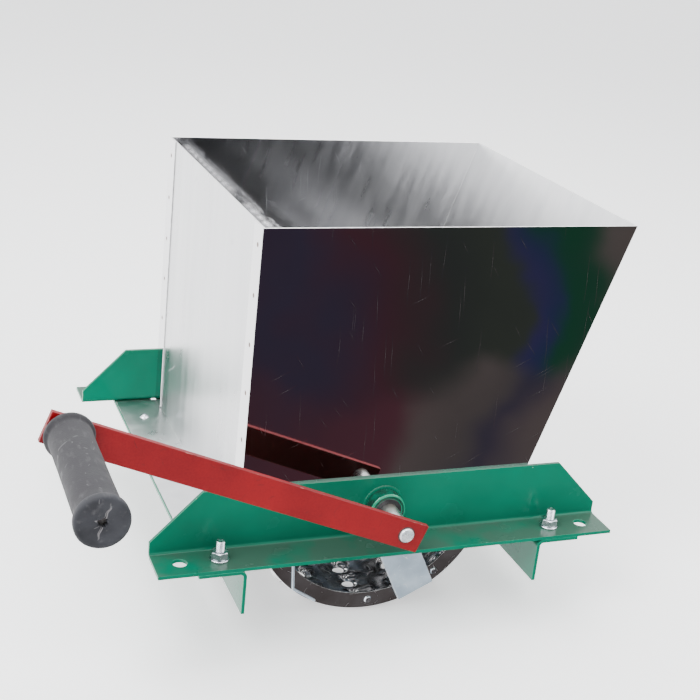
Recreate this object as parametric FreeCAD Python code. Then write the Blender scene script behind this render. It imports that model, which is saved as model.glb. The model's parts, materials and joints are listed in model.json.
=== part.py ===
"""Hand-cranked apple mill: a stainless hopper over a toothed drum, in a frame of steel angle.

X runs along the two crossbars, Y from the crank towards the back, and Z up. The origin is the centre of
the four frame holes, in the plane of the crossbars' underside. All sizes are in millimetres.
"""
import FreeCAD, Part
import math
import os

# Frame: two bent crossbars on two rails
CROSSBAR_LENGTH = 410.0
CROSSBAR_HEIGHT = 56.0
CROSSBAR_FLANGE = 37.0
CROSSBAR_END_CUT = 42.0     # 45 degree cut on the upright leg's corners
LEG_GAP = 305.0             # clear distance between the two upright legs
STEEL = 3.0
BEND_RADIUS = 3.0           # inside radius of the bent steel
RAIL_WIDTH = 40.0
RAIL_HEIGHT = 40.0
RAIL_END_GAP = 33.0         # from a crossbar's end to the rail's outer edge
FRAME_HOLE_D = 12.0
FRAME_HOLE_INSET = 21.5     # from a crossbar's end
FRAME_HOLE_SETBACK = 17.5   # from the flange's free edge
BOLT_D = 8.0
BOLT_HOLE_D = 9.0
BOLT_INSET = 21.0           # from the rail's outer edge
BOLT_FLATS = 13.0
BOLT_HEAD = 5.3
BOLT_NUT = 6.5
BOLT_STAND_OUT = 9.0        # thread that stands out of the nut
WASHER_D = 16.0
WASHER = 1.6

# Hopper of folded sheet, seated on the rails
SHEET = 1.0
HOPPER_TOP = 274.0
LEFT_INSET = 2.0            # from the left rail's inner face to the wall's outer face, at the foot
LEFT_LEAN = 2.0             # how far the left wall leans inwards at the top
RIGHT_INSET = 18.5
RIGHT_FLARE = 86.5          # how far the right wall slopes outwards at the top
LAP_WIDTH = 22.0            # side flange of a front or back panel
SEAT_EDGE = 1.0             # from the seat flange's edge to the rail's outer edge
PANEL_CLEARANCE = 1.0       # from the seat flange up to a panel and its laps
SLOT_CLEARANCE = 2.0        # round a bearing housing, in the panel's slot
SCREW_D = 5.0
SCREW_HOLE_D = 5.5
SCREW_HEAD_D = 9.5
SCREW_DOME = 2.75
SCREW_NUT_FLATS = 8.0
SCREW_NUT = 4.0
SCREW_SPACING = 224.0       # between a wall's two screws

# Shaft and its bearings
SHAFT_D = 16.0
SHAFT_X = -5.0
SHAFT_Z = 30.0
SHAFT_FIT = 0.05            # radial running clearance in a bush
BUSH_WALL = 4.0
BUSH_COLLAR = 1.5
BUSH_COLLAR_HEIGHT = 3.0
HOUSING_WALL = 4.0
HOUSING_PROUD = 13.0        # outside the upright leg
HOUSING_INSIDE = 3.0        # inside the upright leg
SHAFT_TAIL = 8.0            # behind the back housing
RING_GROOVE_DEPTH = 0.8
RING_WIDTH = 1.2
RING_HEIGHT = 3.0
THRUST_WASHER_D = 26.0
THRUST_WASHER = 1.5
END_PLAY = 0.5

# Drum
CRUSH_GAP = 11.5            # from the tooth tips to the left wall
TOOTH_HEIGHT = 3.5
TOOTH_HOLE_R = 5.0
TOOTH_BASE_R = 11.0
TOOTH_PITCH = 25.0
TOOTH_COLUMNS = 16
DRUM_SHEET = 1.0
DRUM_RIM = 13.0             # depth of the shell's inturned flange
END_RING = 2.0
END_RING_WIDTH = 15.0
SPOKE_COUNT = 3
SPOKE_WIDTH = 35.0
SPOKE = 3.0
SPOKE_ANGLE = -64.0
SPOKE_REST = 2.0            # from a spoke's tip to the end ring's outer edge
SPOKE_GAP = 1.0             # from the hub's boss to a spoke's inner end
HUB_D = 34.0
HUB_LENGTH = 27.5
HUB_FLANGE_R = 36.0
HUB_FLANGE = 3.0
HUB_NOSE = 0.5              # outside the spokes
HUB_PIN_D = 5.0
HUB_PIN_INSET = 7.0         # from the hub's inner end
RIVET_D = 4.0
RIVET_HEAD_D = 7.0
RIVET_HEAD = 1.2
RIVET_CLEARANCE = 1.1       # from a spoke's edge to the nearest rivet's head
RIVET_STEP = 22.0           # degrees from that rivet to the next
RIVET_LEAD = 25.0           # degrees from the third rivet to the next spoke's centre line
TIE = 2.0
TIE_FOOT = 26.0             # flat side of a tie strip, against the shell
TIE_WEB = 30.0
TIE_BEND = 128.0            # degrees between its two sides
TIE_CLEARANCE = 0.1         # from the foot's edges to the shell
TIE_PROUD = 1.5             # outside the end ring

# Crank and its turning grip
ARM_WIDTH = 25.0
ARM = 5.0
CRANK_RADIUS = 296.0
CRANK_ANGLE = 158.2
ARM_TAIL = 16.0             # beyond the shaft
ARM_NOSE = 17.5             # beyond the spindle
ARM_STANDOFF = 34.5         # from the front housing to the arm
SHAFT_SPIGOT_D = 12.0
SPIGOT_PROUD = 2.0
SPINDLE_D = 12.0
SPINDLE_THREAD_D = 10.0
SPINDLE_NUT_FLATS = 17.0
SPINDLE_NUT = 8.0
SPINDLE_NECK_D = 8.0
SPINDLE_HEAD = 1.5
GRIP_LENGTH = 130.0
GRIP_D = 32.0
GRIP_COLLAR_D = 37.0
GRIP_COLLAR = 5.0
GRIP_CAP = 8.0
GRIP_CAP_WALL = 4.0
GRIP_CAP_HOLE_D = 9.0
SLEEVE_D = 22.0
SLEEVE_FIT = 0.05           # radial running clearance on the spindle
GRIP_GAP = 0.5              # end clearance of the grip
HANDLE_WASHER_D = 26.0
END_WASHER_D = 20.0
HANDLE_WASHER = 1.5

# Where things lie, worked out from the sizes above
HALF_LENGTH = CROSSBAR_LENGTH / 2
LEG_IN = LEG_GAP / 2
LEG_OUT = LEG_IN + STEEL
FLANGE_OUT = LEG_IN + CROSSBAR_FLANGE
RAIL_OUT = HALF_LENGTH - RAIL_END_GAP
RAIL_IN = RAIL_OUT - RAIL_WIDTH
FASTENER_X = RAIL_OUT - BOLT_INSET
HOLE_X = HALF_LENGTH - FRAME_HOLE_INSET
HOLE_Y = FLANGE_OUT - FRAME_HOLE_SETBACK
LEFT_FOOT = -RAIL_IN + LEFT_INSET
RIGHT_FOOT = RAIL_IN - RIGHT_INSET
PANEL_IN = LEG_IN - SHEET
PANEL_BASE = SHEET + PANEL_CLEARANCE
HOUSING_END = LEG_OUT + HOUSING_PROUD
HOUSING_START = LEG_IN - HOUSING_INSIDE
BUSH_R = SHAFT_D / 2 + BUSH_WALL
HOUSING_R = BUSH_R + HOUSING_WALL
HUB_END = HOUSING_START - BUSH_COLLAR - END_PLAY
SPOKE_OUT = HUB_END - HUB_NOSE
SPOKE_IN = SPOKE_OUT - SPOKE
TIE_END = SPOKE_IN + TIE_PROUD
SHELL_END = SPOKE_IN - END_RING
DRUM_TIP_R = SHAFT_X - LEFT_FOOT - SHEET - CRUSH_GAP
DRUM_R = DRUM_TIP_R - TOOTH_HEIGHT
DRUM_IN = DRUM_R - DRUM_SHEET
ARM_BACK = HOUSING_END + ARM_STANDOFF
ARM_FACE = ARM_BACK + ARM
CRANK_COS = math.cos(math.radians(CRANK_ANGLE))
CRANK_SIN = math.sin(math.radians(CRANK_ANGLE))
SPINDLE_X = SHAFT_X + CRANK_RADIUS * CRANK_COS
SPINDLE_Z = SHAFT_Z + CRANK_RADIUS * CRANK_SIN
SLEEVE_START = ARM_FACE + HANDLE_WASHER + GRIP_GAP
GRIP_END = SLEEVE_START + GRIP_LENGTH
NECK_START = GRIP_END - GRIP_CAP_WALL - GRIP_GAP - SPINDLE_HEAD - HANDLE_WASHER - 2 * GRIP_GAP
SLEEVE_END = NECK_START - GRIP_GAP

X = FreeCAD.Vector(1, 0, 0)
Y = FreeCAD.Vector(0, 1, 0)
Z = FreeCAD.Vector(0, 0, 1)
ORIGIN = FreeCAD.Vector(0, 0, 0)
SIDES = (-1, 1)


def rod_y(radius, x, z, y0, y1):
    return Part.makeCylinder(radius, y1 - y0, FreeCAD.Vector(x, y0, z), Y)


def rod_z(radius, x, y, z0, z1):
    return Part.makeCylinder(radius, z1 - z0, FreeCAD.Vector(x, y, z0), Z)


def tube_z(outer, inner, x, y, z0, z1):
    return rod_z(outer, x, y, z0, z1).cut(rod_z(inner, x, y, z0, z1))


def box(x0, x1, y0, y1, z0, z1):
    return Part.makeBox(x1 - x0, y1 - y0, z1 - z0, FreeCAD.Vector(x0, y0, z0))


def prism_y(outline, y0, y1):
    """A solid whose outline, a list of (x, z), runs from y0 to y1."""
    corners = [FreeCAD.Vector(x, y0, z) for x, z in outline]
    face = Part.Face(Part.makePolygon(corners + corners[:1]))
    return face.extrude(FreeCAD.Vector(0, y1 - y0, 0))


def lathe_y(profile, x, z):
    """A solid turned about an axis along Y, from a list of (radius, y)."""
    corners = [FreeCAD.Vector(x + r, y, z) for r, y in profile]
    face = Part.Face(Part.makePolygon(corners + corners[:1]))
    return face.revolve(FreeCAD.Vector(x, 0, z), Y, 360)


def hexagon_z(flats, x, y, z0, z1):
    """A hexagonal head or nut along Z, its corners eased at both ends."""
    corner_r = flats / math.sqrt(3)
    corners = []
    for step in range(7):
        turn = math.radians(60 * step)
        corners.append(FreeCAD.Vector(x + corner_r * math.cos(turn), y + corner_r * math.sin(turn), z0))
    blank = Part.Face(Part.makePolygon(corners)).extrude(FreeCAD.Vector(0, 0, z1 - z0))
    ease = (corner_r - flats / 2) / math.sqrt(3)
    lower = Part.makeCone(flats / 2, corner_r, ease, FreeCAD.Vector(x, y, z0), Z)
    middle = rod_z(corner_r, x, y, z0 + ease, z1 - ease)
    upper = Part.makeCone(corner_r, flats / 2, ease, FreeCAD.Vector(x, y, z1 - ease), Z)
    return blank.common(lower.fuse([middle, upper]).removeSplitter())


def mirror_x(shape):
    return shape.mirror(ORIGIN, X)


def mirror_y(shape):
    return shape.mirror(ORIGIN, Y)


def both_ends(shape):
    """A piece behind the drum and its twin in front."""
    return [shape, mirror_y(shape)]


def bent_angle(height, width, length):
    """Bent steel angle along +X: one leg up along Z, one out along Y, its outer corner on the axis."""
    outer = BEND_RADIUS + STEEL
    root = BEND_RADIUS * (1 - math.sqrt(0.5))
    heel = outer * (1 - math.sqrt(0.5))

    def point(y, z):
        return FreeCAD.Vector(0, y, z)

    toe = [point(STEEL, outer), point(STEEL, height), point(0, height), point(0, outer)]
    foot = [point(outer, 0), point(width, 0), point(width, STEEL), point(outer, STEEL)]
    edges = [Part.LineSegment(a, b).toShape() for a, b in zip(toe, toe[1:])]
    edges.append(Part.Arc(toe[-1], point(heel, heel), foot[0]).toShape())
    edges += [Part.LineSegment(a, b).toShape() for a, b in zip(foot, foot[1:])]
    edges.append(Part.Arc(foot[-1], point(STEEL + root, STEEL + root), toe[0]).toShape())
    return Part.Face(Part.Wire(edges)).extrude(FreeCAD.Vector(length, 0, 0))


def crossbar():
    """The back crossbar, with its corner cuts, bearing hole, bolt holes and frame holes."""
    bar = bent_angle(CROSSBAR_HEIGHT, CROSSBAR_FLANGE, CROSSBAR_LENGTH)
    bar.translate(FreeCAD.Vector(-HALF_LENGTH, LEG_IN, 0))
    cuts = [rod_y(HOUSING_R, SHAFT_X, SHAFT_Z, LEG_IN - 1, LEG_OUT + 1)]
    for side in SIDES:
        corner = [
            (side * (HALF_LENGTH - CROSSBAR_END_CUT), CROSSBAR_HEIGHT),
            (side * HALF_LENGTH, CROSSBAR_HEIGHT - CROSSBAR_END_CUT),
            (side * HALF_LENGTH, CROSSBAR_HEIGHT),
        ]
        cuts.append(prism_y(corner, LEG_IN - 1, LEG_OUT + 1))
        cuts.append(rod_z(BOLT_HOLE_D / 2, side * FASTENER_X, HOLE_Y, -1, STEEL + 1))
        cuts.append(rod_z(FRAME_HOLE_D / 2, side * HOLE_X, HOLE_Y, -1, STEEL + 1))
    return bar.cut(cuts)


def rail():
    """The right rail: one leg lies under the crossbars, the other hangs down along the outlet."""
    bar = bent_angle(RAIL_HEIGHT, RAIL_WIDTH, 2 * FLANGE_OUT)
    bar = bar.mirror(ORIGIN, Z)
    bar.rotate(ORIGIN, Z, -90)
    bar.translate(FreeCAD.Vector(RAIL_IN, FLANGE_OUT, 0))
    cuts = []
    for side in SIDES:
        cuts.append(rod_z(BOLT_HOLE_D / 2, FASTENER_X, side * HOLE_Y, -STEEL - 1, 1))
        cuts.append(rod_z(SCREW_HOLE_D / 2, FASTENER_X, side * SCREW_SPACING / 2, -STEEL - 1, 1))
    return bar.cut(cuts)


def wall_line(side, z, outward=0.0):
    """x of a side wall's outer face at height z, or of a face that lies further out."""
    foot, travel = (LEFT_FOOT, LEFT_LEAN) if side < 0 else (RIGHT_FOOT, RIGHT_FLARE)
    slant = math.hypot(1, travel / HOPPER_TOP)
    return foot + travel * z / HOPPER_TOP + side * outward * slant


def leaning_plate(side, inner, outer, z0, y0, y1):
    """A plate parallel to a side wall, between two offsets from the wall's outer face."""
    outline = [
        (wall_line(side, z0, inner), z0),
        (wall_line(side, HOPPER_TOP, inner), HOPPER_TOP),
        (wall_line(side, HOPPER_TOP, outer), HOPPER_TOP),
        (wall_line(side, z0, outer), z0),
    ]
    return prism_y(outline, y0, y1)


def side_wall(side):
    """A side wall, with the flange at its foot that seats on the rail."""
    wall = leaning_plate(side, -SHEET, 0, 0, -PANEL_IN, PANEL_IN)
    inner = side * wall_line(side, 0, -SHEET)
    seat = box(inner, RAIL_OUT - SEAT_EDGE, -PANEL_IN, PANEL_IN, 0, SHEET)
    for end in SIDES:
        seat = seat.cut(rod_z(SCREW_HOLE_D / 2, FASTENER_X, end * SCREW_SPACING / 2, -1, SHEET + 1))
    if side < 0:
        seat = mirror_x(seat)
    return wall.fuse(seat).removeSplitter()


def end_panel():
    """The back panel: a flared plate, lapped round both side walls and slotted for the bearing."""
    outline = [
        (wall_line(-1, PANEL_BASE, SHEET), PANEL_BASE),
        (wall_line(-1, HOPPER_TOP, SHEET), HOPPER_TOP),
        (wall_line(1, HOPPER_TOP, SHEET), HOPPER_TOP),
        (wall_line(1, PANEL_BASE, SHEET), PANEL_BASE),
    ]
    panel = prism_y(outline, PANEL_IN, LEG_IN)
    slot_r = HOUSING_R + SLOT_CLEARANCE
    slot = rod_y(slot_r, SHAFT_X, SHAFT_Z, PANEL_IN - 1, LEG_IN + 1)
    throat = box(SHAFT_X - slot_r, SHAFT_X + slot_r, PANEL_IN - 1, LEG_IN + 1, PANEL_BASE - 1, SHAFT_Z)
    panel = panel.cut(slot.fuse(throat))
    laps = [leaning_plate(side, 0, SHEET, PANEL_BASE, LEG_IN - LAP_WIDTH, LEG_IN) for side in SIDES]
    return panel.fuse(laps).removeSplitter()


def frame_bolt(x, y):
    """A hexagon-head bolt put in from below the rail."""
    tip = STEEL + WASHER + BOLT_NUT + BOLT_STAND_OUT
    head = hexagon_z(BOLT_FLATS, x, y, -STEEL - BOLT_HEAD, -STEEL)
    shank = rod_z(BOLT_D / 2, x, y, -STEEL, tip - 1)
    point = Part.makeCone(BOLT_D / 2, BOLT_D / 2 - 1, 1, FreeCAD.Vector(x, y, tip - 1), Z)
    return head.fuse([shank, point]).removeSplitter()


def frame_nut(x, y):
    seat = STEEL + WASHER
    nut = hexagon_z(BOLT_FLATS, x, y, seat, seat + BOLT_NUT)
    return nut.cut(rod_z(BOLT_D / 2, x, y, seat - 1, seat + BOLT_NUT + 1))


def dome_screw(x, y):
    """A button-head screw through the seat flange and the rail."""
    sphere_r = (SCREW_HEAD_D ** 2 / 4 + SCREW_DOME ** 2) / (2 * SCREW_DOME)
    ball = Part.makeSphere(sphere_r, FreeCAD.Vector(x, y, SHEET + SCREW_DOME - sphere_r))
    head = ball.common(rod_z(sphere_r, x, y, SHEET, SHEET + SCREW_DOME + 1))
    socket = hexagon_z(SCREW_D * 0.6, x, y, SHEET + SCREW_DOME / 2, SHEET + SCREW_DOME + 1)
    shank = rod_z(SCREW_D / 2, x, y, -STEEL - SCREW_NUT - 1, SHEET)
    return head.cut(socket).fuse(shank)


def screw_nut(x, y):
    nut = hexagon_z(SCREW_NUT_FLATS, x, y, -STEEL - SCREW_NUT, -STEEL)
    return nut.cut(rod_z(SCREW_D / 2, x, y, -STEEL - SCREW_NUT - 1, -STEEL + 1))


def at_corners(maker, x, y):
    """Four like fasteners, one at each corner of a rectangle about the origin."""
    return Part.Compound([maker(side * x, end * y) for side in SIDES for end in SIDES])


def bearing_housing():
    """The back housing: a turned ring welded into the crossbar's upright leg."""
    ease = 1.0
    profile = [
        (BUSH_R, HOUSING_START),
        (HOUSING_R, HOUSING_START),
        (HOUSING_R, HOUSING_END - ease),
        (HOUSING_R - ease, HOUSING_END),
        (BUSH_R, HOUSING_END),
    ]
    return lathe_y(profile, SHAFT_X, SHAFT_Z)


def bush():
    """The back bush: a plastic sleeve with a collar on the drum's side."""
    bore = SHAFT_D / 2 + SHAFT_FIT
    profile = [
        (bore, HOUSING_START - BUSH_COLLAR),
        (BUSH_R + BUSH_COLLAR_HEIGHT, HOUSING_START - BUSH_COLLAR),
        (BUSH_R + BUSH_COLLAR_HEIGHT, HOUSING_START),
        (BUSH_R, HOUSING_START),
        (BUSH_R, HOUSING_END),
        (bore, HOUSING_END),
    ]
    return lathe_y(profile, SHAFT_X, SHAFT_Z)


def hub_pin_hole(end):
    y = end * (HUB_END - HUB_LENGTH + HUB_PIN_INSET)
    return rod_z(HUB_PIN_D / 2, SHAFT_X, y, SHAFT_Z - HUB_D / 2 - 1, SHAFT_Z + HUB_D / 2 + 1)


def drive_shaft():
    """A bar turned down to a spigot for the crank arm, grooved for the ring at its tail."""
    shaft_r = SHAFT_D / 2
    spigot_r = SHAFT_SPIGOT_D / 2
    groove_r = shaft_r - RING_GROOVE_DEPTH
    groove = HOUSING_END + END_PLAY + THRUST_WASHER
    tail = HOUSING_END + SHAFT_TAIL
    profile = [
        (0, -ARM_FACE - SPIGOT_PROUD),
        (spigot_r - 1, -ARM_FACE - SPIGOT_PROUD),
        (spigot_r, -ARM_FACE - SPIGOT_PROUD + 1),
        (spigot_r, -ARM_BACK),
        (shaft_r, -ARM_BACK),
        (shaft_r, groove),
        (groove_r, groove),
        (groove_r, groove + RING_WIDTH),
        (shaft_r, groove + RING_WIDTH),
        (shaft_r, tail - 1),
        (shaft_r - 1, tail),
        (0, tail),
    ]
    return lathe_y(profile, SHAFT_X, SHAFT_Z).cut([hub_pin_hole(end) for end in SIDES])


def retaining_ring():
    """An open spring ring in the shaft's groove."""
    start = HOUSING_END + END_PLAY + THRUST_WASHER
    groove_r = SHAFT_D / 2 - RING_GROOVE_DEPTH
    ring = rod_y(groove_r + RING_HEIGHT, SHAFT_X, SHAFT_Z, start, start + RING_WIDTH)
    ring = ring.cut(rod_y(groove_r, SHAFT_X, SHAFT_Z, start - 1, start + RING_WIDTH + 1))
    mouth = box(SHAFT_X - 2, SHAFT_X + 2, start - 1, start + RING_WIDTH + 1, SHAFT_Z - SHAFT_D, SHAFT_Z)
    return ring.cut(mouth)


def thrust_washer():
    start = HOUSING_END + END_PLAY
    washer = rod_y(THRUST_WASHER_D / 2, SHAFT_X, SHAFT_Z, start, start + THRUST_WASHER)
    return washer.cut(rod_y(SHAFT_D / 2, SHAFT_X, SHAFT_Z, start - 1, start + THRUST_WASHER + 1))


def hub():
    """The back hub: a boss pinned on the shaft, with the flange that carries the spokes."""
    hub_start = HUB_END - HUB_LENGTH
    profile = [
        (SHAFT_D / 2, hub_start),
        (HUB_D / 2, hub_start),
        (HUB_D / 2, SPOKE_IN - HUB_FLANGE),
        (HUB_FLANGE_R, SPOKE_IN - HUB_FLANGE),
        (HUB_FLANGE_R, SPOKE_IN),
        (HUB_D / 2, SPOKE_IN),
        (HUB_D / 2, HUB_END),
        (SHAFT_D / 2, HUB_END),
    ]
    return lathe_y(profile, SHAFT_X, SHAFT_Z).cut(hub_pin_hole(1))


def hub_pin(end):
    y = end * (HUB_END - HUB_LENGTH + HUB_PIN_INSET)
    return rod_z(HUB_PIN_D / 2, SHAFT_X, y, SHAFT_Z - HUB_D / 2, SHAFT_Z + HUB_D / 2)


def spokes():
    """The back spokes: flat bars welded to the hub's flange and to the end ring."""
    start = max(HUB_D / 2, SPOKE_WIDTH / 2 / math.tan(math.pi / SPOKE_COUNT)) + SPOKE_GAP
    end = DRUM_IN - SPOKE_REST
    bars = []
    for step in range(SPOKE_COUNT):
        bar = box(start, end, SPOKE_IN, SPOKE_OUT, -SPOKE_WIDTH / 2, SPOKE_WIDTH / 2)
        turn = SPOKE_ANGLE + 360 / SPOKE_COUNT * step
        bar.rotate(ORIGIN, Y, -turn)
        bar.translate(FreeCAD.Vector(SHAFT_X, 0, SHAFT_Z))
        bars.append(bar)
    return Part.Compound(bars)


def rivet_places():
    """x and z of an end ring's rivets."""
    circle_r = DRUM_IN - END_RING_WIDTH / 2
    beside_spoke = SPOKE_WIDTH / 2 + RIVET_CLEARANCE + RIVET_HEAD_D / 2
    first = SPOKE_ANGLE + math.degrees(math.asin(beside_spoke / circle_r))
    places = []
    for step in range(SPOKE_COUNT):
        for offset in (0, RIVET_STEP, 360 / SPOKE_COUNT - RIVET_LEAD - first + SPOKE_ANGLE):
            turn = math.radians(first + 360 / SPOKE_COUNT * step + offset)
            places.append((SHAFT_X + circle_r * math.cos(turn), SHAFT_Z + circle_r * math.sin(turn)))
    return places


def tie_strips():
    """Bent strips inside the shell, halfway between the spokes, their ends let through the end rings."""
    foot_r = math.sqrt((DRUM_IN - TIE_CLEARANCE) ** 2 - (TIE_FOOT / 2) ** 2)
    bend = math.radians(TIE_BEND)
    heel = (-TIE_FOOT / 2, foot_r)
    web_end = (heel[0] + TIE_WEB * math.cos(bend), heel[1] - TIE_WEB * math.sin(bend))
    outline = [
        (TIE_FOOT / 2, foot_r),
        heel,
        web_end,
        (web_end[0] + TIE * math.sin(bend), web_end[1] + TIE * math.cos(bend)),
        (heel[0] + TIE / math.tan(bend / 2), foot_r - TIE),
        (TIE_FOOT / 2, foot_r - TIE),
    ]
    strips = []
    for step in range(SPOKE_COUNT):
        turn = math.radians(SPOKE_ANGLE + 360 / SPOKE_COUNT * (step + 0.5))
        placed = []
        for across, out in outline:
            x = SHAFT_X + out * math.cos(turn) - across * math.sin(turn)
            z = SHAFT_Z + out * math.sin(turn) + across * math.cos(turn)
            placed.append((x, z))
        strips.append(prism_y(placed, -TIE_END, TIE_END))
    return strips


def end_ring():
    """The back end ring, riveted to the shell's flange and notched for the tie strips."""
    ring = rod_y(DRUM_IN, SHAFT_X, SHAFT_Z, SHELL_END, SPOKE_IN)
    ring = ring.cut(rod_y(DRUM_IN - END_RING_WIDTH, SHAFT_X, SHAFT_Z, SHELL_END - 1, SPOKE_IN + 1))
    rivets = [rod_y(RIVET_D / 2, x, z, SHELL_END - 1, SPOKE_IN + 1) for x, z in rivet_places()]
    return ring.cut(rivets + tie_strips())


def rivet(x, z):
    profile = [
        (0, SHELL_END - DRUM_SHEET - RIVET_HEAD),
        (RIVET_HEAD_D / 2 - 1, SHELL_END - DRUM_SHEET - RIVET_HEAD),
        (RIVET_HEAD_D / 2, SHELL_END - DRUM_SHEET),
        (RIVET_D / 2, SHELL_END - DRUM_SHEET),
        (RIVET_D / 2, SPOKE_IN),
        (RIVET_HEAD_D / 2, SPOKE_IN),
        (RIVET_HEAD_D / 2 - 1, SPOKE_IN + RIVET_HEAD),
        (0, SPOKE_IN + RIVET_HEAD),
    ]
    return lathe_y(profile, x, z)


def tooth_places(column):
    """y of every tooth in a column along the drum. Each column is half a pitch from the next."""
    reach = SHELL_END - DRUM_SHEET - TOOTH_BASE_R - 2
    shift = TOOTH_PITCH / 2 * (column % 2)
    count = int((reach - shift) / TOOTH_PITCH)
    first = -count - (1 if shift else 0)
    return [step * TOOTH_PITCH + shift for step in range(first, count + 1)]


def tooth_cone(y, inward, low, high):
    """A tooth's outer cone, or with inward above 0 its hollow, from one radius on the drum to another."""
    slope = (TOOTH_BASE_R - TOOTH_HOLE_R) / (TOOTH_HEIGHT + DRUM_SHEET)
    foot = FreeCAD.Vector(SHAFT_X + low, y, SHAFT_Z)
    lip = TOOTH_HOLE_R + DRUM_SHEET - inward * slope
    foot_r = lip + (DRUM_TIP_R - low) * slope
    top_r = lip + (DRUM_TIP_R - high) * slope
    return Part.makeCone(foot_r, top_r, high - low, foot, X)


def stave(column):
    """One column of the rolled shell, with its punched teeth, which stand out as open cones."""
    half = math.pi / TOOTH_COLUMNS
    reach = 2 * DRUM_R * math.cos(half)
    spread = 2 * DRUM_R * math.sin(half)
    wedge = [(SHAFT_X, SHAFT_Z), (SHAFT_X + reach, SHAFT_Z - spread), (SHAFT_X + reach, SHAFT_Z + spread)]
    sheet = rod_y(DRUM_R, SHAFT_X, SHAFT_Z, -SHELL_END, SHELL_END)
    sheet = sheet.cut(rod_y(DRUM_IN, SHAFT_X, SHAFT_Z, -SHELL_END - 1, SHELL_END + 1))
    sheet = sheet.common(prism_y(wedge, -SHELL_END - 1, SHELL_END + 1))
    teeth = [tooth_cone(y, 0, DRUM_IN, DRUM_TIP_R) for y in tooth_places(column)]
    hollows = [tooth_cone(y, DRUM_SHEET, DRUM_IN - 2, DRUM_TIP_R + 0.5) for y in tooth_places(column)]
    sheet = sheet.fuse(teeth).cut(hollows)
    turn = -360 / TOOTH_COLUMNS * column
    sheet.rotate(FreeCAD.Vector(SHAFT_X, 0, SHAFT_Z), Y, turn)
    return sheet


def shell_rim():
    """The shell's back flange, turned in flat against the end ring and riveted to it."""
    rim = rod_y(DRUM_IN, SHAFT_X, SHAFT_Z, SHELL_END - DRUM_SHEET, SHELL_END)
    rim = rim.cut(rod_y(DRUM_IN - DRUM_RIM, SHAFT_X, SHAFT_Z, SHELL_END - DRUM_SHEET - 1, SHELL_END + 1))
    rivets = [rod_y(RIVET_D / 2, x, z, SHELL_END - DRUM_SHEET - 1, SHELL_END + 1) for x, z in rivet_places()]
    return rim.cut(rivets + tie_strips())


def crank_arm():
    """A flat bar with a hole for the shaft's spigot and one for the spindle."""
    bar = box(-ARM_TAIL, CRANK_RADIUS + ARM_NOSE, -ARM_FACE, -ARM_BACK, -ARM_WIDTH / 2, ARM_WIDTH / 2)
    bar = bar.cut(rod_y(SHAFT_SPIGOT_D / 2, 0, 0, -ARM_FACE - 1, -ARM_BACK + 1))
    bar = bar.cut(rod_y(SPINDLE_THREAD_D / 2, CRANK_RADIUS, 0, -ARM_FACE - 1, -ARM_BACK + 1))
    bar.rotate(ORIGIN, Y, -CRANK_ANGLE)
    bar.translate(FreeCAD.Vector(SHAFT_X, 0, SHAFT_Z))
    return bar


def handle_spindle():
    """A shouldered pin, nutted behind the arm and peened over the end washer."""
    thread_r = SPINDLE_THREAD_D / 2
    neck_end = NECK_START + HANDLE_WASHER
    profile = [
        (0, -ARM_BACK + SPINDLE_NUT + 1),
        (thread_r - 1, -ARM_BACK + SPINDLE_NUT + 1),
        (thread_r, -ARM_BACK + SPINDLE_NUT),
        (thread_r, -ARM_FACE),
        (SPINDLE_D / 2, -ARM_FACE),
        (SPINDLE_D / 2, -NECK_START),
        (SPINDLE_NECK_D / 2, -NECK_START),
        (SPINDLE_NECK_D / 2, -neck_end),
        (SPINDLE_D / 2, -neck_end),
        (SPINDLE_D / 2 - 1, -neck_end - SPINDLE_HEAD),
        (0, -neck_end - SPINDLE_HEAD),
    ]
    return lathe_y(profile, SPINDLE_X, SPINDLE_Z)


def handle_nut():
    nut = hexagon_z(SPINDLE_NUT_FLATS, 0, 0, 0, SPINDLE_NUT)
    nut = nut.cut(rod_z(SPINDLE_THREAD_D / 2, 0, 0, -1, SPINDLE_NUT + 1))
    nut.rotate(ORIGIN, X, -90)
    nut.translate(FreeCAD.Vector(SPINDLE_X, -ARM_BACK, SPINDLE_Z))
    return nut


def spindle_ring(outer_d, inner_d, start, end):
    """A washer or tube on the spindle, between two distances in front of the shaft's middle."""
    ring = rod_y(outer_d / 2, SPINDLE_X, SPINDLE_Z, -end, -start)
    return ring.cut(rod_y(inner_d / 2, SPINDLE_X, SPINDLE_Z, -end - 1, -start + 1))


def rubber_grip():
    """A moulded grip with a collar at the arm and a closed cap, pierced in the middle."""
    body_r = GRIP_D / 2
    collar_r = GRIP_COLLAR_D / 2
    start = SLEEVE_START + GRIP_GAP / 2
    step = collar_r - body_r
    profile = [
        (SLEEVE_D / 2, -start),
        (collar_r - 1, -start),
        (collar_r, -start - 1),
        (collar_r, -start - GRIP_COLLAR + step),
        (body_r, -start - GRIP_COLLAR),
        (body_r, -GRIP_END + GRIP_CAP),
        (collar_r, -GRIP_END + GRIP_CAP - step),
        (collar_r, -GRIP_END + 1.5),
        (collar_r - 1.5, -GRIP_END),
        (GRIP_CAP_HOLE_D / 2, -GRIP_END),
        (GRIP_CAP_HOLE_D / 2, -GRIP_END + GRIP_CAP_WALL),
        (SLEEVE_D / 2, -GRIP_END + GRIP_CAP_WALL),
    ]
    return lathe_y(profile, SPINDLE_X, SPINDLE_Z)


back_crossbar = crossbar()
back_housing = bearing_housing()
back_bush = bush()
back_panel = end_panel()
right_rail = rail()
back_hub = hub()
back_spokes = spokes()
back_ring = end_ring()
back_rivets = [rivet(x, z) for x, z in rivet_places()]
washer_top = STEEL + WASHER

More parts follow.
